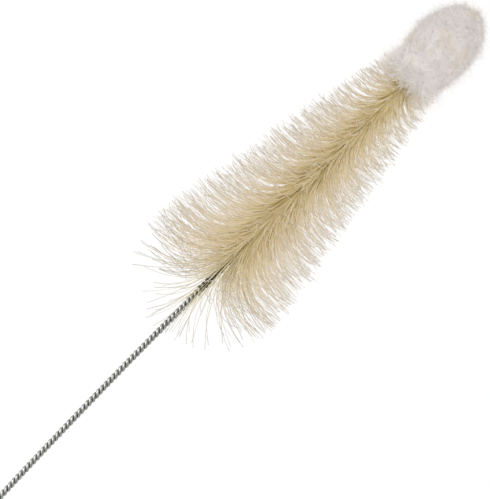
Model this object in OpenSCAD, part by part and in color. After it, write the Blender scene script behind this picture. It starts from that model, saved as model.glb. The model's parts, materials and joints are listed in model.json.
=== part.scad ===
// Conical laboratory bottle brush. One wire is bent into a hanging eye, its two legs are
// twisted together, and the twist grips the bristles. A wool tuft covers the cut ends.
// The brush lies as it comes to rest, on its widest bristles and on the wool, with the
// stem rising behind them. All lengths are in millimetres and all angles in degrees.

/* [Overall] */
// Length from the end of the hanging eye to the end of the wool
total_length = 400; // [330:5:600]

/* [Stem wire] */
// Diameter of the wire
wire_d = 1.5; // [0.9:0.05:1.8]
// Lean of the twisted wire to the stem, where the two legs touch
twist_lean = 44.4; // [20:0.1:44.8]
// Clear width inside the hanging eye
eye_inner_w = 16; // [8:1:24]
// Length of the hanging eye, from its end to the first twist
eye_length = 27; // [20:1:45]
// Clearance between the two legs where nothing is gripped
leg_gap = 0.02; // [0.01:0.01:0.1]
// How far the gentle bow of the bare stem carries the eye to one side
stem_bow = 7.5; // [0:0.5:12]

/* [Bristle head] */
// Turns of the twist that hold bristles
bristle_turns = 30; // [20:1:36]
// Bristles in one turn, an odd number so that their two ends interleave
bristles_per_turn = 11; // [7:2:13]
// Thickness of one bristle
bristle_t = 0.3; // [0.15:0.01:0.36]
// Clearance around a bristle in the grip of the wire
grip_gap = 0.03; // [0.01:0.01:0.1]
// Length of each side of the rearmost bristles, which fan out almost straight
rear_arm = 27; // [15:1:40]
// Length of each side of the bristles that form the widest part
widest_arm = 46.8; // [30:0.5:60]
// Length of each side of the bristles where the front of the head begins
shoulder_arm = 28.7; // [18:0.1:40]
// Length of each side of the foremost bristles
front_arm = 15.2; // [10:0.1:25]
// Length of the head over which the rear bristles reach their full curl
fan_length = 30; // [15:1:45]
// Length of the front of the head, where the bristles stand up more steeply
front_length = 35; // [20:1:45]
// Angle between a bristle and the stem where it leaves the wire
root_angle = 18; // [10:1:30]
// The same angle on the foremost bristles
front_root_angle = 45; // [30:1:60]
// Angle between the tip of a bristle and the stem
tip_angle = 88; // [70:1:95]
// The same angle on the rearmost bristles
rear_tip_angle = 24; // [20:1:60]
// How far the weight of the brush presses the widest bristles in
bristle_sag = 2.5; // [1:0.1:4]

/* [Wool tip] */
// Radius of the wool at its fullest
wool_r = 16; // [10:0.5:20]
// Radius of the waist just ahead of the bristles
wool_waist_r = 13.8; // [8:0.1:16]
// Length of the wool ahead of its fullest part
wool_nose = 25.5; // [15:0.5:30]
// Depth of wool over the cut ends of the wire
wool_cover = 12; // [6:1:20]
// Length of the wool between the last bristle root and the fullest part
wool_back = 10; // [6:0.5:20]
// Clearance between the wool and the bristles and wire
wool_gap = 0.5; // [0.3:0.05:1]
// How far the weight of the brush presses the wool in
wool_sag = 1; // [0.5:0.1:2]

/* [Hidden] */
// Rings of the swept wire in one turn of the twist, and sides of its section
turn_rings = 6;
wire_sides = 5;
// Rings around the bend of the eye, and straight pieces in one side of a bristle
eye_rings = 18;
arm_pieces = 4;
// Steps of the search for the bristle angle that just meets the floor, steps of the
// search for the helix that just clears the bristles, and degrees between its tests
floor_steps = 14;
grip_steps = 14;
grip_test_turn = 2;
// Degrees between the points of the wool's outline, and sides of its turned shape
wool_step = 10;
wool_sides = 96;

wire_r = wire_d / 2;
twist_pitch = PI * wire_d / tan(twist_lean);
ring_step = twist_pitch / turn_rings;
ring_turn = 360 / turn_rings;
bare_twist_r = (wire_r + leg_gap / 2) / cos(ring_turn / 2);
grip_twist_r = grip_helix_r(wire_r, 2 * wire_d, grip_steps) / cos(ring_turn / 2);
bend_r = grip_twist_r + wire_r + bristle_t / 2 + 2 * grip_gap;

wool_mid = total_length - wool_nose;
head_length = bristle_turns * twist_pitch;
head_front = wool_mid - wool_back;
head_rear = head_front - head_length;
bristle_step = twist_pitch / bristles_per_turn;
wire_end = total_length - wool_cover;

eye_r = (eye_inner_w + wire_d) / 2;
eye_mid = wire_r + eye_r;

// The bristles that form the widest circle, and the slope at which the head lies on it
widest_tip = arm_curve(widest_arm, root_angle, tip_angle)[arm_pieces];
rest_span = wool_mid - (head_rear + fan_length + widest_tip.x);
wool_rest_height = wool_r - wool_sag;
rest_slope = atan2(widest_tip.y, rest_span)
    - asin((bristle_sag + wool_rest_height) / norm([rest_span, widest_tip.y]));
tip_clearance = bristle_t * sqrt(2) / 2;

function turn_name(n) = str("bristle_turn_", n < 10 ? "0" : "", n);

function unit(v) = v / norm(v);
function last(list) = list[len(list) - 1];
function reversed(list) = [for (k = [len(list) - 1 : -1 : 0]) list[k]];

// Height of the brush's axis above the floor, a length s from the end of the eye
function axis_height(s) = wool_rest_height + (wool_mid - s) * sin(rest_slope);

// Radius of the helix that each leg follows: a little more where it grips bristles
function twist_r(s) =
    lookup(s, [[head_rear - twist_pitch, bare_twist_r], [head_rear, grip_twist_r]]);

// How near the middle of a leg, on a helix of radius r, comes to a bristle between the legs
function leg_reach(r) =
    min([for (a = [0 : grip_test_turn : 90])
        norm([for (d = [r * cos(a), twist_pitch * a / 360]) max(d - bristle_t / 2, 0)])]);

// Radius of the helix on which the legs just clear the bristles
function grip_helix_r(low, high, steps) =
    let (mid = (low + high) / 2)
    steps == 0 ? high
    : leg_reach(mid) < wire_r + grip_gap ? grip_helix_r(mid, high, steps - 1)
    : grip_helix_r(low, mid, steps - 1);

// Turn of the first leg about the axis; the twist is left-handed
function twist_angle(s) = -360 * (s - eye_length) / twist_pitch;

// One leg, from the eye to its cut end
function leg(first_angle) =
    [for (s = [eye_length : ring_step : wire_end])
        let (a = first_angle + twist_angle(s))
        [s, twist_r(s) * cos(a), twist_r(s) * sin(a)]];

// Sideways bow of the bare stem, which grows from the head towards the eye
function bow(s) = stem_bow * pow(max(head_rear - s, 0) / head_rear, 2);
function bowed(path) = [for (p = path) p - [0, bow(p.x), 0]];

// The open loop of the eye, from one leg to the other, in the plane of the eye
function eye_loop() =
    let (
        neck = [eye_length - eye_mid, bare_twist_r],
        touch = atan2(neck.y, neck.x) + acos(eye_r / norm(neck)),
        side = eye_mid * [1, 0] + (neck + eye_r * [cos(touch), sin(touch)]) / 2)
    concat(
        [[side.x, side.y, 0]],
        [for (k = [0 : eye_rings])
            let (a = touch + (360 - 2 * touch) * k / eye_rings)
            [eye_mid + eye_r * cos(a), eye_r * sin(a), 0]],
        [[side.x, -side.y, 0]]);

// Directions along a path, and across it without turning about it
function tangents(path) =
    [for (k = [0 : len(path) - 1])
        unit(path[min(k + 1, len(path) - 1)] - path[max(k - 1, 0)])];
function across(t) =
    [for (k = 0, n = unit(cross(t[0], [1, 0, 0]));
          k < len(t);
          k = k + 1, n = k < len(t) ? unit(n - (n * t[k]) * t[k]) : n)
        n];

// A round bar swept along a path, closed at both ends
module swept_bar(path, radius, sides) {
    t = tangents(path);
    n = across(t);
    rings = len(path);
    points = [for (k = [0 : rings - 1], j = [0 : sides - 1])
        let (a = 360 * j / sides)
        path[k] + radius * (cos(a) * n[k] + sin(a) * cross(t[k], n[k]))];
    corners = [for (k = [0 : rings - 2], j = [0 : sides - 1])
        let (here = k * sides, next = (j + 1) % sides)
        [here + j, here + sides + j, here + sides + next, here + next]];
    walls = [for (c = corners, half = [[0, 1, 2], [0, 2, 3]]) [for (i = half) c[i]]];
    near_end = [[for (j = [0 : sides - 1]) j]];
    far_end = [[for (j = [sides - 1 : -1 : 0]) (rings - 1) * sides + j]];
    polyhedron(points, concat(walls, near_end, far_end));
}

// One side of a bristle, from the bend at the wire to the tip: an arc that leaves the
// wire towards the eye and curls outwards, as points along and out from the axis
function arm_curve(length, root, tip) =
    let (arc_r = length * 180 / (PI * (tip - root)))
    [for (k = [0 : arm_pieces])
        let (a = root + (tip - root) * k / arm_pieces)
        [arc_r * (sin(root) - sin(a)), bend_r + arc_r * (cos(root) - cos(a))]];

// The form of the bristles whose root is a length x from the rear of the head
function arm_length(x) =
    lookup(x, [[0, rear_arm], [fan_length, widest_arm],
        [head_length - front_length, shoulder_arm], [head_length, front_arm]]);
function root_angle_at(x) =
    lookup(x, [[head_length - front_length, root_angle], [head_length, front_root_angle]]);
function tip_angle_at(x) = lookup(x, [[0, rear_tip_angle], [fan_length, tip_angle]]);

// Height of a bristle tip above the floor, for a side that points out at angle az
function tip_height(x, az, tip) =
    let (end = last(arm_curve(arm_length(x), root_angle_at(x), tip)))
    axis_height(head_rear + x + end.x) + end.y * sin(az) * cos(rest_slope);

// Tip angle of a side: its own, or less where the floor presses it back
function pressed(x, az, low, high, steps) =
    tip_height(x, az, high) >= tip_clearance ? high
    : steps == 0 ? low
    : let (mid = (low + high) / 2)
        tip_height(x, az, mid) >= tip_clearance
        ? pressed(x, az, mid, high, steps - 1)
        : pressed(x, az, low, mid, steps - 1);
function arm(x, az) =
    let (root = root_angle_at(x))
    arm_curve(arm_length(x), root, pressed(x, az, root + 1, tip_angle_at(x), floor_steps));

// The outline of a ribbon of even width along a flat path, with mitred corners
function ribbon(path, width) =
    let (
        end = len(path) - 1,
        step = [for (k = [1 : end]) unit(path[k] - path[k - 1])],
        side = [for (k = [0 : end])
            let (
                before = step[max(k - 1, 0)],
                along = unit(before + step[min(k, end - 1)]))
            width / 2 / (along * before) * [-along.y, along.x]])
    concat(path + side, reversed(path - side));

// One bristle, held at its middle and swept back on both sides of the wire
module bristle(index) {
    x = (index + 0.5) * bristle_step;
    az = 90 + twist_angle(head_rear + x);
    over = arm(x, az);
    under = [for (p = arm(x, az + 180)) [p.x, -p.y]];
    translate([head_rear + x, 0, 0])
        rotate([az, 0, 0])
            linear_extrude(height = bristle_t, center = true)
                polygon(ribbon(concat(reversed(over), under), bristle_t));
}

// The wool's outline, along and out from the axis. Its back is hollow and lies along the
// foremost bristles, and a narrow channel takes the end of the stem.
function wool_outline() =
    let (
        back = arm_curve(front_arm, front_root_angle, tip_angle),
        waist = head_front + wool_gap,
        pocket_end = wire_end + wire_r + wool_gap)
    concat(
        [[pocket_end, 0], [pocket_end, bend_r]],
        [for (p = back) [waist + p.x, p.y]],
        [for (a = [0 : wool_step : 90])
            [waist + (wool_mid - waist) * a / 90,
                wool_waist_r + (wool_r - wool_waist_r) * sin(a)]],
        [for (a = [wool_step : wool_step : 90])
            [wool_mid + wool_nose * sin(a), wool_r * cos(a)]]);

// Lays a shape that is drawn along +X from the end of the eye on the floor
module at_rest() {
    translate([-total_length * cos(rest_slope) / 2, 0, axis_height(0)])
        rotate([0, rest_slope, 0])
            children();
}

module stem_wire() {
    color([0.66, 0.66, 0.64])
        at_rest()
            swept_bar(bowed(concat(reversed(leg(0)), eye_loop(), leg(180))), wire_r, wire_sides);
}

module bristle_turn(n) {
    color([0.86, 0.80, 0.64])
        at_rest()
            for (k = [0 : bristles_per_turn - 1])
                bristle((n - 1) * bristles_per_turn + k);
}

module wool_tip() {
    color([0.87, 0.84, 0.83])
        intersection() {
            at_rest()
                rotate([0, 90, 0])
                    rotate_extrude($fn = wool_sides)
                        polygon([for (p = wool_outline()) [p.y, p.x]]);
            translate([0, -total_length, 0])
                cube([total_length, 2 * total_length, total_length]);
        }
}

stem_wire();
for (n = [1 : bristle_turns])
    bristle_turn(n);
wool_tip();
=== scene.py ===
import json
import math

import bpy
import numpy as np
from mathutils import Matrix, Vector, noise

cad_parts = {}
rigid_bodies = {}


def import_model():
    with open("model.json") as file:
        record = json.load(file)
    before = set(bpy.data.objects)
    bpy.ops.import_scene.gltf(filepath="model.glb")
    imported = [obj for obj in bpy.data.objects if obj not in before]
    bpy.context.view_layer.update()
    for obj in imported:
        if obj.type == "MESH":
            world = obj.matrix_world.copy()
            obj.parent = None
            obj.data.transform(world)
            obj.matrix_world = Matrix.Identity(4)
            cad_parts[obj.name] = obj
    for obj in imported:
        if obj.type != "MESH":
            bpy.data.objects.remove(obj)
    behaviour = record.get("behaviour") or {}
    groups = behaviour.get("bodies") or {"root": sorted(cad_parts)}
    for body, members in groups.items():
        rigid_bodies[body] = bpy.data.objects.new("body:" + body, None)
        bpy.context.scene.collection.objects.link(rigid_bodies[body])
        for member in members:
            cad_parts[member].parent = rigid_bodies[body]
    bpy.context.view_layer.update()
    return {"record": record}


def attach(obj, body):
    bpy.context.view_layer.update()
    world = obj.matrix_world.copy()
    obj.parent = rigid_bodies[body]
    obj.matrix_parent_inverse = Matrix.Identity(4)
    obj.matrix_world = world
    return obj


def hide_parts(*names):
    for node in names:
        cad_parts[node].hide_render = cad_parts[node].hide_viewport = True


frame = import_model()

# The brush has a frame of its own: along it from the end of the eye, to its side, and up.
brush = {
    "wire": 0.0015,
    "lean": 44.4,  # of the twisted wire to the stem, in degrees
    "bow": 0.0075,  # sideways, at the end of the eye
    "eyeLength": 0.027,
    "eyeWidth": 0.016,
    "turns": 30,  # that grip bristles
    "headFront": 0.3645,
    "wireEnd": 0.388,
}
wireR = brush["wire"] / 2
pitch = math.pi * brush["wire"] / math.tan(math.radians(brush["lean"]))
headLength = brush["turns"] * pitch
headRear = brush["headFront"] - headLength
eyeR = (brush["eyeWidth"] + brush["wire"]) / 2
eyeMiddle = wireR + eyeR


def bow(s):
    return brush["bow"] * (np.clip(headRear - s, 0, None) / headRear) ** 2


hangingEye = next(m for m in frame["record"]["mounts"] if m["name"] == "hanging_eye")
upward = np.array(hangingEye["axis"])
sideways = np.array([0.0, 1.0, 0.0])
forward = np.cross(sideways, upward)
eyeEnd = np.array(hangingEye["pos_m"]) - forward * eyeMiddle + sideways * bow(eyeMiddle)


def laid(points):
    return eyeEnd + points @ np.array([forward, sideways, upward])


def twistAngle(s):  # left-handed, in radians
    return -2 * math.pi * (s - brush["eyeLength"]) / pitch


# Camera: it looks straight down on the brush, with the tip at the upper right.

camera = {
    "pixels": (490, 499),
    "pixel": 0.00045,  # metres at the brush
    "distance": 1.3,
    "sensor": 0.036,
    "clip": (0.05, 20),
    "turn": 44.86,  # from the right of the view up to the tip, in degrees
    "looksAt": (0.2484, -0.00145, 0.0),  # in the brush's frame
}


def setCamera():
    turn = math.radians(camera["turn"])
    right = forward * math.cos(turn) - sideways * math.sin(turn)
    top = forward * math.sin(turn) + sideways * math.cos(turn)
    data = bpy.data.cameras.new("camera")
    longSide = max(camera["pixels"]) * camera["pixel"]
    data.sensor_width = camera["sensor"] * 1000  # this and the lens are in millimetres
    data.lens = 1000 * camera["sensor"] * camera["distance"] / longSide
    data.clip_start, data.clip_end = camera["clip"]
    cam = bpy.data.objects.new("camera", data)
    bpy.context.scene.collection.objects.link(cam)
    target = laid(np.array(camera["looksAt"]))
    spot = target + upward * camera["distance"]
    turned = Matrix([[*row] for row in zip(right, top, upward)]).to_4x4()
    cam.matrix_world = Matrix.Translation(Vector(spot)) @ turned
    bpy.context.scene.camera = cam


# Helpers

def deselectAll():
    bpy.ops.object.select_all(action="DESELECT")


def makeActive(piece):
    deselectAll()
    piece.select_set(True)
    bpy.context.view_layer.objects.active = piece


def settle(piece, replaced, material):
    piece.data.materials.clear()
    piece.data.materials.append(material)
    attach(piece, "root")
    if replaced:
        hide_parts(*replaced)


def smoothstep(t):
    t = np.clip(t, 0, 1)
    return t * t * (3 - 2 * t)


# Materials

def newMaterial(name):
    material = bpy.data.materials.new(name)
    material.use_nodes = True
    nodes = material.node_tree.nodes
    return material, nodes, material.node_tree.links, nodes["Principled BSDF"]


cloudy = {"detail": 3, "roughness": 0.6}


def driftGroup():  # two colours that drift into each other with a noise
    group = bpy.data.node_groups.new("colourDrift", "ShaderNodeTree")
    face = group.interface
    face.new_socket("Vector", in_out="INPUT", socket_type="NodeSocketVector")
    face.new_socket("First", in_out="INPUT", socket_type="NodeSocketColor")
    face.new_socket("Second", in_out="INPUT", socket_type="NodeSocketColor")
    face.new_socket("Scale", in_out="INPUT", socket_type="NodeSocketFloat")
    face.new_socket("Low", in_out="INPUT", socket_type="NodeSocketFloat")
    face.new_socket("High", in_out="INPUT", socket_type="NodeSocketFloat")
    face.new_socket("Colour", in_out="OUTPUT", socket_type="NodeSocketColor")
    face.new_socket("Mask", in_out="OUTPUT", socket_type="NodeSocketFloat")
    nodes, links = group.nodes, group.links
    given = nodes.new("NodeGroupInput")
    cloud = nodes.new("ShaderNodeTexNoise")
    cloud.inputs["Detail"].default_value = cloudy["detail"]
    cloud.inputs["Roughness"].default_value = cloudy["roughness"]
    spread = nodes.new("ShaderNodeMapRange")
    spread.interpolation_type = "SMOOTHSTEP"
    blend = nodes.new("ShaderNodeMix")
    blend.data_type = "RGBA"
    out = nodes.new("NodeGroupOutput")
    links.new(given.outputs["Vector"], cloud.inputs["Vector"])
    links.new(given.outputs["Scale"], cloud.inputs["Scale"])
    links.new(cloud.outputs["Fac"], spread.inputs["Value"])
    links.new(given.outputs["Low"], spread.inputs["From Min"])
    links.new(given.outputs["High"], spread.inputs["From Max"])
    links.new(spread.outputs["Result"], blend.inputs["Factor"])
    links.new(given.outputs["First"], blend.inputs["A"])
    links.new(given.outputs["Second"], blend.inputs["B"])
    links.new(blend.outputs["Result"], out.inputs["Colour"])
    links.new(spread.outputs["Result"], out.inputs["Mask"])
    return group


colourDrift = driftGroup()


def addDrift(nodes, links, vector, first, second, scale, low, high):
    node = nodes.new("ShaderNodeGroup")
    node.node_tree = colourDrift
    links.new(vector, node.inputs["Vector"])
    node.inputs["First"].default_value = (*first, 1)
    node.inputs["Second"].default_value = (*second, 1)
    node.inputs["Scale"].default_value = scale
    node.inputs["Low"].default_value = low
    node.inputs["High"].default_value = high
    return node


# Stem wire: one galvanised wire, twisted on both sides of a hanging eye

stem = {
    "grip": 0.00016,  # half of what holds the two legs apart in the head
    "legGap": 0.00002,  # between the two legs where nothing is gripped
    "ringsPerTurn": 24,
    "sidesOfTube": 4,  # a bevel resolution
    "eyeStep": 0.0004,
    "neckPasses": 60,  # of smoothing
    "neckTurn": 0.25,  # how much of the first turn is smoothed with the neck
    "crest": (0.44, 0.44, 0.42),
    "dullCrest": (0.34, 0.34, 0.325),
    # painted shade, deep between the two legs
    "grooveShade": (0.07, 0.065, 0.05),
    "grooveReach": (0.6, 1.7),  # from the axis, in wire radii, over which the painted shade between the legs fades out
    "headShade": 0.85,  # painted shade: how much of the crests is lost inside the head, where the bristles shade the wire
    "mottle": (900, 0.4, 0.7),  # its scale, and where it starts and ends
    "pits": (2500, 0.25, 0.00005),  # their scale, strength and depth
    "roughness": (0.14, 0.30),
    "metal": 0.7,  # the rest is dull zinc
}


def legPath(firstAngle):
    s = np.arange(brush["eyeLength"], brush["wireEnd"], pitch / stem["ringsPerTurn"])
    gripped = smoothstep((s - headRear + pitch) / pitch)
    radius = wireR + stem["legGap"] / 2 + gripped * stem["grip"]
    angle = firstAngle + twistAngle(s)
    return np.column_stack([s, radius * np.cos(angle), radius * np.sin(angle)])


def eyePath(neck):
    reach = np.linalg.norm(neck)
    touch = math.atan2(neck[1], neck[0]) + math.acos(eyeR / reach)
    turns = np.arange(touch, 2 * math.pi - touch, stem["eyeStep"] / eyeR)
    loop = eyeR * np.column_stack([np.cos(turns), np.sin(turns)])
    steps = int(np.linalg.norm(neck - loop[0]) / stem["eyeStep"])
    run = np.linspace(neck, loop[0], steps, endpoint=False)[1:]
    flat = np.vstack([run, loop, run[::-1] * [1, -1]])
    return np.column_stack([flat[:, 0] + eyeMiddle, flat[:, 1], np.zeros(len(flat))])


def makeStem():
    first, second = legPath(0), legPath(math.pi)
    neck = np.array([brush["eyeLength"] - eyeMiddle, first[0, 1]])
    path = np.vstack([first[::-1], eyePath(neck), second])
    atEye = path[:, 0] < brush["eyeLength"] + stem["neckTurn"] * pitch
    for k in range(stem["neckPasses"]):  # rounds the corners at the neck
        middle = (path[:-2] + path[2:]) / 2
        path[1:-1] = np.where(atEye[1:-1, None], middle, path[1:-1])
    path[:, 1] -= bow(path[:, 0])
    curve = bpy.data.curves.new("stemWire", "CURVE")
    curve.dimensions = "3D"
    curve.bevel_depth = wireR
    curve.bevel_resolution = stem["sidesOfTube"]
    curve.use_fill_caps = True
    spline = curve.splines.new("POLY")
    spline.points.add(len(path) - 1)
    spline.points.foreach_set("co", np.column_stack([laid(path), np.ones(len(path))]).ravel())
    piece = bpy.data.objects.new("stemWire", curve)
    bpy.context.scene.collection.objects.link(piece)
    makeActive(piece)
    bpy.ops.object.convert(target="MESH")
    bpy.ops.object.shade_smooth()
    markCrests(piece.data)
    settle(piece, ["stem_wire"], wireMaterial())
    print("stem wire:", len(piece.data.polygons), "faces")


def markCrests(mesh):  # a mask for painted shade: 0 deep between the two legs, 1 on the outside of the twist, and lower inside the head
    places = np.array([v.co for v in mesh.vertices])
    s, side, up = ((places - eyeEnd) @ np.array([forward, sideways, upward]).T).T
    reach = np.hypot(side + bow(s), up) / wireR
    low, high = stem["grooveReach"]
    crest = smoothstep((reach - low) / (high - low))
    # painted shade inside the head
    crest *= 1 - stem["headShade"] * smoothstep((s - headRear) / pitch)
    layer = mesh.attributes.new("crest", "FLOAT", "POINT")
    layer.data.foreach_set("value", crest.astype(np.float32))


def wireMaterial():
    material, nodes, links, shader = newMaterial("galvanisedWire")
    place = nodes.new("ShaderNodeTexCoord")
    spot = place.outputs["Object"]
    mottle = addDrift(nodes, links, spot, stem["crest"], stem["dullCrest"], *stem["mottle"])
    crest = nodes.new("ShaderNodeAttribute")
    crest.attribute_name = "crest"
    # painted shade: the dark colour deep between the legs and inside the head
    paintedShade = nodes.new("ShaderNodeMix")
    paintedShade.data_type = "RGBA"
    paintedShade.inputs["A"].default_value = (*stem["grooveShade"], 1)
    links.new(crest.outputs["Fac"], paintedShade.inputs["Factor"])
    links.new(mottle.outputs["Colour"], paintedShade.inputs["B"])
    links.new(paintedShade.outputs["Result"], shader.inputs["Base Color"])
    polish = nodes.new("ShaderNodeMapRange")
    links.new(mottle.outputs["Mask"], polish.inputs["Value"])
    smooth, rough = stem["roughness"]
    polish.inputs["To Min"].default_value = smooth
    polish.inputs["To Max"].default_value = rough
    links.new(polish.outputs["Result"], shader.inputs["Roughness"])
    scale, strength, depth = stem["pits"]
    pits = nodes.new("ShaderNodeTexNoise")
    pits.inputs["Scale"].default_value = scale
    links.new(spot, pits.inputs["Vector"])
    bump = nodes.new("ShaderNodeBump")
    bump.inputs["Strength"].default_value = strength
    bump.inputs["Distance"].default_value = depth
    links.new(pits.outputs["Fac"], bump.inputs["Height"])
    links.new(bump.outputs["Normal"], shader.inputs["Normal"])
    shader.inputs["Metallic"].default_value = stem["metal"]
    shader.inputs["Specular Tint"].default_value = (0, 0, 0, 1)  # dull towards the edges
    return material


# Strands: a bristle and a fibre of wool are both a thin bar, bent along its path

strands = {
    "sides": 3,
    "mapAcross": (0.15, 0.7),  # start and width in the UV map, in a strand's own band
    "mapAlong": (0.01, 0.98),
    "lowest": 0.00001,  # above the floor
    "nudge": 1e-7 * np.array([0.3, 0.5, 0.8]),  # gives a straight strand a side
    "tiny": 1e-12,  # keeps a length above nothing
}


def modelStrand(name, segments):  # a straight bar of unit radius and unit length
    deselectAll()
    bpy.ops.mesh.primitive_circle_add(vertices=strands["sides"], radius=1, fill_type="NGON")
    strand = bpy.context.object
    strand.name = name
    bpy.ops.object.mode_set(mode="EDIT")
    for k in range(segments):
        bpy.ops.mesh.extrude_region_move(TRANSFORM_OT_translate={"value": (0, 0, 1 / segments)})
    bpy.ops.mesh.select_all(action="SELECT")
    bpy.ops.mesh.normals_make_consistent(inside=False)
    bpy.ops.object.mode_set(mode="OBJECT")
    corners = np.array([v.co for v in strand.data.vertices])
    faces = [tuple(p.vertices) for p in strand.data.polygons]
    bpy.data.objects.remove(strand)
    return corners, faces


def strandMesh(name, strand, paths, radii, bandOf, bands, alongOf):
    # copies of a strand, each bent along its own path, as one mesh with a map of tone and length
    corners, faces = strand
    rings = paths.shape[1] - 1
    ring = np.rint(corners[:, 2] * rings).astype(int)
    ahead = np.gradient(paths, axis=1)
    ahead /= np.linalg.norm(ahead, axis=2, keepdims=True) + strands["tiny"]
    chord = paths[:, 0] - 2 * paths[:, rings // 2] + paths[:, -1]
    chord += strands["nudge"]
    across = np.cross(ahead, chord[:, None, :])
    across /= np.linalg.norm(across, axis=2, keepdims=True) + strands["tiny"]
    other = np.cross(ahead, across)
    x, y = corners[:, 0], corners[:, 1]
    r = radii[:, ring][..., None]
    places = paths[:, ring] + r * (x[:, None] * across[:, ring] + y[:, None] * other[:, ring])
    places[..., 2] = np.maximum(places[..., 2], strands["lowest"])
    count, size = len(paths), len(corners)
    loops = np.concatenate([np.array(f) for f in faces])
    lengths = np.array([len(f) for f in faces])
    allLoops = (loops[None, :] + size * np.arange(count)[:, None]).ravel()
    allLengths = np.tile(lengths, count)
    starts = np.concatenate([[0], np.cumsum(allLengths)[:-1]])
    mesh = bpy.data.meshes.new(name)
    mesh.vertices.add(count * size)
    mesh.vertices.foreach_set("co", places.astype(np.float32).ravel())
    mesh.loops.add(len(allLoops))
    mesh.loops.foreach_set("vertex_index", allLoops.astype(np.int32))
    mesh.polygons.add(len(allLengths))
    mesh.polygons.foreach_set("loop_start", starts.astype(np.int32))
    mesh.update(calc_edges=True)
    mesh.polygons.foreach_set("use_smooth", np.zeros(len(allLengths), bool))
    turn = (np.arctan2(y, x) / (2 * math.pi)) % 1
    left, width = strands["mapAcross"]
    low, height = strands["mapAlong"]
    u = (bandOf[:, None] + left + width * turn[None, :]) / bands
    v = low + height * alongOf[ring]
    uv = np.stack([u, np.broadcast_to(v, u.shape)], axis=-1).reshape(-1, 2)[allLoops]
    layer = mesh.uv_layers.new(name="OFBake")
    layer.data.foreach_set("uv", uv.astype(np.float32).ravel())
    mesh.validate()
    piece = bpy.data.objects.new(name, mesh)
    bpy.context.scene.collection.objects.link(piece)
    return piece


# Bristles: each is gripped at its middle and swept back on both sides

bristles = {
    "seed": 14,
    "perTurn": 68,
    "perWisp": 2,
    "thinnedTo": 0.02,  # share left at the rear of the head
    "everyKept": 25,  # one in this many stays there too
    "thinOver": (0.022, 0.049),  # from the rear of the head
    "segments": 18,  # along the whole bristle, an even number
    "rootR": 0.00014,
    "tipR": 0.00013,
    "thick": (0.8, 1.25),  # shares of these radii
    "bendR": 0.0015,  # from the axis, where a bristle turns back
    "armLengths": (
        (0, 0.025), (0.010, 0.0335), (0.020, 0.0415), (0.030, 0.0490), (0.038, 0.0525), (0.050, 0.0522),
        (0.060, 0.0490), (0.080, 0.0420), (0.100, 0.0360), (0.115, 0.0316), (0.125, 0.0280),
        (0.135, 0.0222), (0.1444, 0.0178),
    ),
    "rootAngles": ((0, 12), (0.03, 14), (0.125, 16), (0.1444, 32)),
    "tipAngles": ((0.002, 26), (0.032, 90)),
    "leastAngles": (6, 4),  # at the root, and from there to the tip
    "turnOver": (0.15, 0.95),  # share of the arm over which it turns out
    "wispSpread": {"around": 9, "drift": 3, "root": 3, "tip": 6, "length": 0.018},
    "ownSpread": {"around": 5, "drift": 2.5, "root": 2, "tip": 5, "length": 0.015},
    "fanSpread": 2.2,  # how much wider these are at the rear
    "loners": 0.7,  # share of bristles in no wisp
    "combed": 0.0012,  # to one side, at the tips
    "wave": (0.0002, 0.0018),  # sideways, at the tips
    "rearWave": 0.15,  # share of it that is left on the rearmost
    "waves": (0.5, 1.6),  # in one arm
    "reach": 0.0374,  # from the axis, at most
    "shy": 0.08,  # share of bristles that are shorter
    "shyLength": (0.5, 0.95),  # share of their length that is left
    "askew": 0.0003,  # along the brush, where a bristle is gripped
    "bands": 32,  # of tone
    "packedShare": 0.75,  # of the bands, and the rest are for the loose bristles at the rear
    "looseShade": (0.76, 0.775, 0.83),
    "lengthColours": (  # from the wire to the tip; the dark first stop is painted shade at the core, where the wire grips the bristles
        (0.0, (0.38, 0.29, 0.08)), (0.07, (1.0, 0.885, 0.40)), (0.35, (1.0, 0.89, 0.56)),
        (0.7, (0.93, 0.83, 0.66)), (1.0, (0.69, 0.63, 0.55)),
    ),
    "tones": ((0.66, 0.58, 0.43), (1, 1, 1)),
    "toneDrift": (40, 0.34, 0.50),  # its scale, and where it starts and ends
    "toneStretch": 0.03,  # of its scale, along a bristle
    "roughness": 0.32,
    "floorGap": 0.00012,
    "press": {"segments": 7, "tries": 14, "leastTurn": 0.02},  # against the floor, in radians
}


def stray(rng, wispOf, x, trait):  # a wisp's own way, and a bristle's own way within it
    wide, narrow = bristles["wispSpread"][trait], bristles["ownSpread"][trait]
    shared = rng.normal(0, 1, wispOf.max() + 1)[wispOf]
    own = rng.normal(0, 1, len(x))
    loner = rng.random(len(x)) < bristles["loners"]
    wider = np.interp(x, bristles["thinOver"], (bristles["fanSpread"], 1))
    return wider * np.where(loner, wide * own, wide * shared + narrow * own)


def along(pairs, x):
    return np.interp(x, [p[0] for p in pairs], [p[1] for p in pairs])


def armPoints(x, around, drift, length, root, tip, wave, segments):
    middle = (np.arange(segments) + 0.5) / segments
    early, late = bristles["turnOver"]
    angle = root[:, None] + (tip - root)[:, None] * smoothstep((middle - early) / (late - early))
    step = (length / segments)[:, None]
    start = np.zeros((len(x), 1))
    back = np.hstack([start, np.cumsum(step * np.cos(angle), axis=1)])
    out = np.hstack([start, np.cumsum(step * np.sin(angle), axis=1)])
    out *= np.minimum(1, (bristles["reach"] - bristles["bendR"]) / out[:, -1:])
    out += bristles["bendR"]
    t = np.linspace(0, 1, segments + 1)
    reach, cycles, phase = wave[:, :, None, :]
    swing = reach * t[:, None] ** 2 * np.sin(2 * math.pi * (cycles * t[:, None] + phase))
    az = around[:, None] + drift[:, None] * t * t + swing[..., 0] / out
    s = headRear + x[:, None] - back + swing[..., 1]
    return np.stack([s, out * np.cos(az) + bristles["combed"] * t * t, out * np.sin(az)], axis=-1)


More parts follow.
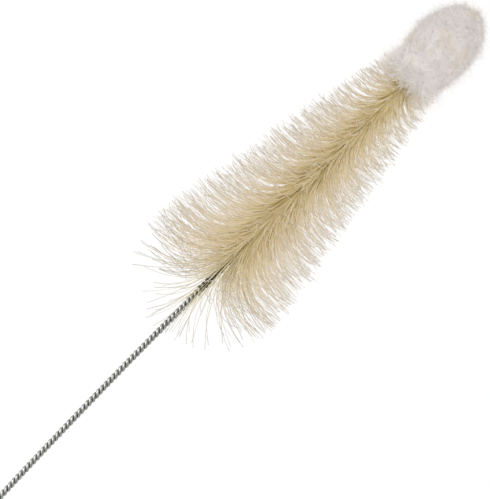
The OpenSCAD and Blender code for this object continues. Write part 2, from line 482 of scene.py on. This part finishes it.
def pressBack(x, around, drift, length, root, tip, wave):  # where the floor holds a tip back
    press = bristles["press"]

    def height(tips):
        arms = armPoints(x, around, drift, length, root, tips, wave, press["segments"])
        return laid(arms)[:, -1, 2]

    free = height(tip) >= bristles["floorGap"]
    low, high = root + press["leastTurn"], tip
    for step in range(press["tries"]):
        middle = (low + high) / 2
        clear = height(middle) >= bristles["floorGap"]
        low, high = np.where(clear, middle, low), np.where(clear, high, middle)
    return np.where(free, tip, low)


def growArms(rng, wispOf, x, around):
    degrees = math.pi / 180
    length = along(bristles["armLengths"], x) * (1 + stray(rng, wispOf, x, "length"))
    shy = rng.random(len(x)) < bristles["shy"]
    length *= np.where(shy, rng.uniform(*bristles["shyLength"], len(x)), 1)
    root = (along(bristles["rootAngles"], x) + stray(rng, wispOf, x, "root")) * degrees
    tip = (along(bristles["tipAngles"], x) + stray(rng, wispOf, x, "tip")) * degrees
    leastRoot, leastTurn = bristles["leastAngles"]
    root = np.maximum(root, leastRoot * degrees)
    tip = np.maximum(tip, root + leastTurn * degrees)
    around = around + stray(rng, wispOf, x, "around") * degrees
    drift = stray(rng, wispOf, x, "drift") * degrees
    sized = (len(x), 2)  # each arm waves to the side and along the brush
    wave = np.array([
        rng.uniform(*bristles["wave"], sized), rng.uniform(*bristles["waves"], sized), rng.random(sized),
    ])
    wave[0] *= np.interp(x, bristles["thinOver"], (bristles["rearWave"], 1))[:, None]
    tip = pressBack(x, around, drift, length, root, tip, wave)
    return armPoints(x, around, drift, length, root, tip, wave, bristles["segments"] // 2)


def makeBristles():
    rng = np.random.default_rng(bristles["seed"])
    material = bristleMaterial()
    count = bristles["perTurn"] * brush["turns"]
    x = (np.arange(count) + rng.random(count)) / bristles["perTurn"] * pitch
    near, far = bristles["thinOver"]
    kept = bristles["thinnedTo"] + (1 - bristles["thinnedTo"]) * smoothstep((x - near) / (far - near))
    x = x[(rng.random(count) < kept) | (np.arange(count) % bristles["everyKept"] == 0)]
    count = len(x)
    around = math.pi / 2 + twistAngle(headRear + x)
    wispOf = np.arange(count) // bristles["perWisp"]
    over = growArms(rng, wispOf, x, around)
    under = growArms(rng, wispOf, x, around + math.pi)
    middle = np.stack([headRear + x, 0 * x, 0 * x], axis=-1)[:, None]
    middle[..., 0] += rng.normal(0, bristles["askew"], (count, 1))
    paths = laid(np.concatenate([over[:, :0:-1], middle, under[:, 1:]], axis=1))
    t = np.abs(np.linspace(-1, 1, paths.shape[1]))
    thick = rng.uniform(*bristles["thick"], count)[:, None]
    radii = thick * (bristles["rootR"] + (bristles["tipR"] - bristles["rootR"]) * t ** 2)
    strand = modelStrand("bristle", paths.shape[1] - 1)
    packed = int(bristles["bands"] * bristles["packedShare"])
    bandOf = rng.integers(0, packed, wispOf.max() + 1)[wispOf]
    loose = rng.random(count) > (x - near) / (far - near)
    bandOf[loose] = rng.integers(packed, bristles["bands"], loose.sum())
    turnOf = np.floor(x / pitch).astype(int)
    for turn in range(brush["turns"]):
        own = turnOf == turn
        name = "bristleTurn%02d" % (turn + 1)
        piece = strandMesh(name, strand, paths[own], radii[own], bandOf[own], bristles["bands"], t)
        settle(piece, ["bristle_turn_%02d" % (turn + 1)], material)
    print("bristles:", count, "of", len(strand[1]), "faces")


def bristleMaterial():
    material, nodes, links, shader = newMaterial("naturalBristle")
    own = nodes.new("ShaderNodeUVMap")
    own.uv_map = "OFBake"
    parts = nodes.new("ShaderNodeSeparateXYZ")
    links.new(own.outputs["UV"], parts.inputs["Vector"])
    # the colours along a bristle, with painted shade at the core
    length = nodes.new("ShaderNodeValToRGB")
    stops = bristles["lengthColours"]
    ramp = length.color_ramp
    while len(ramp.elements) < len(stops):
        ramp.elements.new(0.5)
    for element, (place, colour) in zip(ramp.elements, stops):
        element.position = place
        element.color = (*colour, 1)
    links.new(parts.outputs["Y"], length.inputs["Fac"])
    stretch = nodes.new("ShaderNodeMapping")
    stretch.inputs["Scale"].default_value = (1, bristles["toneStretch"], 1)
    links.new(own.outputs["UV"], stretch.inputs["Vector"])
    streak = stretch.outputs["Vector"]
    tone = addDrift(nodes, links, streak, *bristles["tones"], *bristles["toneDrift"])
    tint = nodes.new("ShaderNodeMix")
    tint.data_type = "RGBA"
    tint.blend_type = "MULTIPLY"
    tint.inputs["Factor"].default_value = 1
    links.new(length.outputs["Color"], tint.inputs["A"])
    links.new(tone.outputs["Colour"], tint.inputs["B"])
    loose = nodes.new("ShaderNodeMath")
    loose.operation = "GREATER_THAN"
    loose.inputs[1].default_value = bristles["packedShare"]
    links.new(parts.outputs["X"], loose.inputs[0])
    dim = nodes.new("ShaderNodeMix")
    dim.data_type = "RGBA"
    dim.blend_type = "MULTIPLY"
    dim.inputs["B"].default_value = (*bristles["looseShade"], 1)
    links.new(loose.outputs[0], dim.inputs["Factor"])
    links.new(tint.outputs["Result"], dim.inputs["A"])
    links.new(dim.outputs["Result"], shader.inputs["Base Color"])
    shader.inputs["Roughness"].default_value = bristles["roughness"]
    return material


# Wool tip: a felted body under loose fibres, with a skirt over the foremost bristles

wool = {
    "seed": 23,
    "outline": (  # along the brush and out from it, from the hollow back to the nose
        (0.3660, 0.0), (0.3650, 0.004), (0.3608, 0.0078), (0.3556, 0.0098), (0.3533, 0.0112),
        (0.3545, 0.0124), (0.3580, 0.0126), (0.3625, 0.0123), (0.3670, 0.0126), (0.3710, 0.0136),
        (0.3755, 0.0141), (0.3800, 0.0138), (0.3845, 0.0126), (0.3885, 0.0107), (0.3920, 0.0080),
        (0.3948, 0.0054), (0.3965, 0.0030), (0.3971, 0.0),
    ),
    "aside": 0.0007,
    "axisHeight": 0.016,  # above the floor
    "spinSteps": 72,
    "mergeWithin": 0.00001,
    "lumps": ((0.0110, 0.0011), (0.0045, 0.0008), (0.0018, 0.0005)),  # size and height
    "fibreSegments": 3,
    "fibreR": (0.00006, 0.00004),
    "felt": {"count": 8000, "lean": (0.02, 0.30), "length": (0.003, 0.007), "curl": 0.6},
    "down": {"count": 8000, "lean": (0.15, 1.0), "length": (0.0012, 0.0026), "curl": 0.6},
    "fuzz": {"count": 8000, "lean": (0.3, 1.2), "length": (0.0014, 0.0030), "curl": 0.7},
    "skirt": {"count": 3400, "lean": (0.2, 1.4), "length": (0.0020, 0.0070), "curl": 0.7},
    "rootDepth": 0.0003,  # below the surface, where a fibre starts
    "skirtFrom": 0.3595,  # the skirt's fibres start behind here
    "skirtFacing": 0.8,  # and not on what faces further forward than this
    "skirtWay": (0.7, 1.2),  # how much they point anywhere, and backwards
    "wisps": 330,
    "wispReach": 0.0011,
    "wispEdge": 1.3,  # in reaches, where the pull ends
    "wispPull": 0.85,
    "wispBend": 1.5,  # the more, the nearer to its tip a fibre is pulled aside
    "wispLift": (0.0008, 0.0052),
    "wispAside": 0.0008,
    "bodyGap": 0.0002,  # from the floor
    "fibreGap": 0.0001,
    "bands": 64,  # of the UV map, around the wool
    "cream": (0.855, 0.80, 0.73),
    "pale": (0.845, 0.808, 0.792),
    # painted light, which lifts the shade on the rear of the wool and its skirt
    "skirtPaintedLight": (0.97, 0.935, 0.91),
    "skirtFade": (0.355, 0.370),  # along the brush, where the painted light on the rear and the skirt ends
    "patches": (70, 0.45, 0.68),  # their scale, and where they start and end
    "roughness": 0.95,
    "gloss": 0.2,
}


def makeWool():
    deselectAll()
    mesh = bpy.data.meshes.new("woolBody")
    outline = np.array([(s, r, 0) for s, r in wool["outline"]])
    mesh.from_pydata(outline.tolist(), [(k, k + 1) for k in range(len(outline) - 1)], [])
    body = bpy.data.objects.new("woolBody", mesh)
    bpy.context.scene.collection.objects.link(body)
    makeActive(body)
    bpy.ops.object.mode_set(mode="EDIT")
    bpy.ops.mesh.select_all(action="SELECT")
    bpy.ops.mesh.spin(steps=wool["spinSteps"], angle=2 * math.pi, center=(0, 0, 0), axis=(1, 0, 0))
    bpy.ops.mesh.select_all(action="SELECT")
    bpy.ops.mesh.remove_doubles(threshold=wool["mergeWithin"])
    bpy.ops.mesh.normals_make_consistent(inside=False)
    bpy.ops.object.mode_set(mode="OBJECT")
    sortFaces(body.data)
    soften = body.modifiers.new("soften", "SUBSURF")
    soften.levels = soften.render_levels = 1
    bpy.ops.object.modifier_apply(modifier=soften.name)
    shapeWool(body.data)
    bpy.ops.object.shade_smooth()
    material = woolMaterial()
    settle(body, ["wool_tip"], material)
    makeFibres(body.data, material)
    print("wool body:", len(body.data.polygons), "faces")


def sortFaces(mesh):  # a spin lists them in another order on each run
    corners = [v.co.copy() for v in mesh.vertices]
    faces = []
    for polygon in mesh.polygons:
        face = list(polygon.vertices)
        first = face.index(min(face))
        faces.append(face[first:] + face[:first])
    mesh.clear_geometry()
    mesh.from_pydata(corners, [], sorted(faces))


def shapeWool(mesh):
    normals = np.array([v.normal for v in mesh.vertices])
    places = np.array([v.co for v in mesh.vertices])
    lift = np.zeros(len(places))
    for size, height in wool["lumps"]:
        lift += height * np.array([noise.noise(Vector(p / size)) for p in places])
    places = laid(places + normals * lift[:, None] + np.array([0, wool["aside"], 0]))
    places[:, 2] = np.maximum(places[:, 2], wool["bodyGap"])
    mesh.vertices.foreach_set("co", places.astype(np.float32).ravel())
    mesh.update()


def growFibres(rng, mesh, kind):
    habit = wool[kind]
    count = habit["count"]
    corners = np.array([v.co for v in mesh.vertices])
    faces = np.array([tuple(p.vertices)[:3] for p in mesh.polygons])
    areas = np.array([p.area for p in mesh.polygons])
    normals = np.array([p.normal for p in mesh.polygons])
    if kind == "skirt":
        s = (corners[faces[:, 0]] - eyeEnd) @ forward
        facing = normals @ forward
        areas = areas * (s < wool["skirtFrom"]) * (facing < wool["skirtFacing"])
    chosen = rng.choice(len(faces), count, p=areas / areas.sum())
    mix = rng.dirichlet((1, 1, 1), count)
    roots = (corners[faces[chosen]] * mix[:, :, None]).sum(1)
    normal = normals[chosen]
    way = rng.normal(0, 1, (count, 3))
    if kind == "skirt":
        anywhere, backwards = wool["skirtWay"]
        way = way * anywhere - forward * backwards
    way -= (way * normal).sum(1, keepdims=True) * normal
    way /= np.linalg.norm(way, axis=1, keepdims=True)
    start = way + rng.uniform(*habit["lean"], count)[:, None] * normal
    start /= np.linalg.norm(start, axis=1, keepdims=True)
    length = rng.uniform(*habit["length"], count)[:, None, None]
    curl = rng.normal(0, habit["curl"], (count, 3))
    t = np.linspace(0, 1, wool["fibreSegments"] + 1)[None, :, None]
    bent = start[:, None] * t + curl[:, None] * t * t * 0.5
    paths = roots[:, None] - wool["rootDepth"] * normal[:, None] + length * bent
    return paths, roots, normal


def gatherWisps(rng, paths, roots, normal):
    leaders = rng.choice(len(roots), wool["wisps"], replace=False)
    low, high = wool["wispLift"]
    lift = low + (high - low) * rng.random(len(leaders)) ** 2  # few are long
    aside = rng.normal(0, wool["wispAside"], (len(leaders), 3))
    goals = roots[leaders] + normal[leaders] * lift[:, None] + aside
    apart = np.linalg.norm(roots[:, None] - roots[leaders][None], axis=2)
    nearest = apart.argmin(1)
    pull = wool["wispPull"] * smoothstep(wool["wispEdge"] - apart.min(1) / wool["wispReach"])
    t = np.linspace(0, 1, paths.shape[1])[None, :, None] ** wool["wispBend"]
    return paths + (goals[nearest] - paths[:, -1])[:, None] * pull[:, None, None] * t


def makeFibres(mesh, material):
    rng = np.random.default_rng(wool["seed"])
    t = np.linspace(0, 1, wool["fibreSegments"] + 1)
    rootR, tipR = wool["fibreR"]
    strand = modelStrand("fibre", wool["fibreSegments"])
    for kind in ("felt", "down", "fuzz", "skirt"):
        paths, roots, normal = growFibres(rng, mesh, kind)
        if kind == "fuzz":
            paths = gatherWisps(rng, paths, roots, normal)
        paths[..., 2] = np.maximum(paths[..., 2], wool["fibreGap"])
        radii = np.repeat((rootR + (tipR - rootR) * t)[None], len(paths), axis=0)
        side = np.arctan2(roots[:, 1], roots[:, 2] - wool["axisHeight"]) / (2 * math.pi) % 1
        bandOf = np.floor(side * wool["bands"]).astype(int)
        name = "wool" + kind.capitalize()
        piece = strandMesh(name, strand, paths, radii, bandOf, wool["bands"], t)
        settle(piece, [], material)
        print("wool", kind + ":", len(paths), "fibres of", len(strand[1]), "faces")


def woolMaterial():
    material, nodes, links, shader = newMaterial("softWool")
    place = nodes.new("ShaderNodeTexCoord")
    spot = place.outputs["Object"]
    patches = addDrift(nodes, links, spot, wool["pale"], wool["cream"], *wool["patches"])
    parts = nodes.new("ShaderNodeSeparateXYZ")
    links.new(spot, parts.inputs["Vector"])
    front = nodes.new("ShaderNodeMapRange")
    front.interpolation_type = "SMOOTHSTEP"
    low, high = laid(np.array([[s, 0, 0] for s in wool["skirtFade"]]))[:, 0]
    front.inputs["From Min"].default_value = low
    front.inputs["From Max"].default_value = high
    links.new(parts.outputs["X"], front.inputs["Value"])
    # painted light: the rear of the wool is made paler where it lies in shade
    paintedRearLight = nodes.new("ShaderNodeMix")
    paintedRearLight.data_type = "RGBA"
    paintedRearLight.inputs["A"].default_value = (*wool["skirtPaintedLight"], 1)
    links.new(front.outputs["Result"], paintedRearLight.inputs["Factor"])
    links.new(patches.outputs["Colour"], paintedRearLight.inputs["B"])
    links.new(paintedRearLight.outputs["Result"], shader.inputs["Base Color"])
    shader.inputs["Roughness"].default_value = wool["roughness"]
    shader.inputs["Specular IOR Level"].default_value = wool["gloss"]
    return material


# Floor and light

studio = {
    "floorSize": 8,
    "floorWhite": 0.94,
    "cameraWhite": 0.93,  # share of the floor that the camera sees unshaded
    "whiteLevel": 1.02,
    "worldLight": 1.0,
    "cardDistance": 1.3,
    "cards": {  # size, grey, glow, and the way to it
        "dark": (3.6, 0.34, 0.0, (0.0, -0.5, 1.0)),
        "bright": (1.5, 0.8, 3.0, (-0.1, 1.0, 0.8)),
    },
    "lampDistance": 1.5,
    "lamps": {  # power, size, and the way to it
        "top": (3.2, 1.0, (-0.25, 0.1, 1.0)),
    },
}


def seenRays(nodes, links):  # 1 for what the camera, gloss or glass shows
    path = nodes.new("ShaderNodeLightPath")
    first = nodes.new("ShaderNodeMath")
    first.operation = "MAXIMUM"
    second = nodes.new("ShaderNodeMath")
    second.operation = "MAXIMUM"
    links.new(path.outputs["Is Camera Ray"], first.inputs[0])
    links.new(path.outputs["Is Glossy Ray"], first.inputs[1])
    links.new(first.outputs[0], second.inputs[0])
    links.new(path.outputs["Is Transmission Ray"], second.inputs[1])
    return second.outputs[0]


def makeFloor():
    deselectAll()
    bpy.ops.mesh.primitive_plane_add(size=studio["floorSize"])
    floor = bpy.context.object
    floor.name = "floor"
    material = bpy.data.materials.new("whiteFloor")
    material.use_nodes = True
    nodes, links = material.node_tree.nodes, material.node_tree.links
    nodes.clear()
    out = nodes.new("ShaderNodeOutputMaterial")
    lit = nodes.new("ShaderNodeBsdfDiffuse")
    lit.inputs["Color"].default_value = (*[studio["floorWhite"]] * 3, 1)
    white = nodes.new("ShaderNodeEmission")
    white.inputs["Strength"].default_value = studio["whiteLevel"]
    share = nodes.new("ShaderNodeMath")
    share.operation = "MULTIPLY"
    share.inputs[1].default_value = studio["cameraWhite"]
    links.new(seenRays(nodes, links), share.inputs[0])
    both = nodes.new("ShaderNodeMixShader")
    links.new(share.outputs[0], both.inputs["Fac"])
    links.new(lit.outputs[0], both.inputs[1])
    links.new(white.outputs[0], both.inputs[2])
    links.new(both.outputs[0], out.inputs["Surface"])
    floor.data.materials.append(material)


def makeCards():  # beside and over the brush, and seen only in its gloss
    for name, (size, grey, glow, direction) in studio["cards"].items():
        deselectAll()
        bpy.ops.mesh.primitive_plane_add(size=size)
        card = bpy.context.object
        card.name = name + "Card"
        way = Vector(direction).normalized()
        card.location = Vector(laid(np.array(camera["looksAt"]))) + way * studio["cardDistance"]
        card.rotation_euler = way.to_track_quat("Z", "Y").to_euler()
        material = newMaterial(card.name)[0]
        shader = material.node_tree.nodes["Principled BSDF"]
        shader.inputs["Base Color"].default_value = (*[grey] * 3, 1)
        shader.inputs["Roughness"].default_value = 1
        shader.inputs["Emission Color"].default_value = (1, 1, 1, 1)
        shader.inputs["Emission Strength"].default_value = glow
        card.data.materials.append(material)
        card.visible_camera = card.visible_diffuse = card.visible_shadow = False
        card.visible_transmission = False


def makeLight():
    world = bpy.data.worlds.new("studio")
    bpy.context.scene.world = world
    world.use_nodes = True
    nodes, links = world.node_tree.nodes, world.node_tree.links
    sky = nodes["Background"]
    sky.inputs["Color"].default_value = (1, 1, 1, 1)
    level = nodes.new("ShaderNodeMapRange")
    level.inputs["To Min"].default_value = studio["worldLight"]
    level.inputs["To Max"].default_value = 1
    links.new(seenRays(nodes, links), level.inputs["Value"])
    links.new(level.outputs["Result"], sky.inputs["Strength"])
    for name, (power, size, direction) in studio["lamps"].items():
        data = bpy.data.lights.new(name, "AREA")
        data.energy = power
        data.size = size
        lamp = bpy.data.objects.new(name, data)
        bpy.context.scene.collection.objects.link(lamp)
        way = Vector(direction).normalized()
        target = Vector(laid(np.array(camera["looksAt"])))
        lamp.location = target + way * studio["lampDistance"]
        lamp.rotation_euler = way.to_track_quat("Z", "Y").to_euler()
    bpy.context.scene.view_settings.view_transform = "Standard"


setCamera()
makeStem()
makeBristles()
makeWool()
makeFloor()
makeCards()
makeLight()
print("scene made")
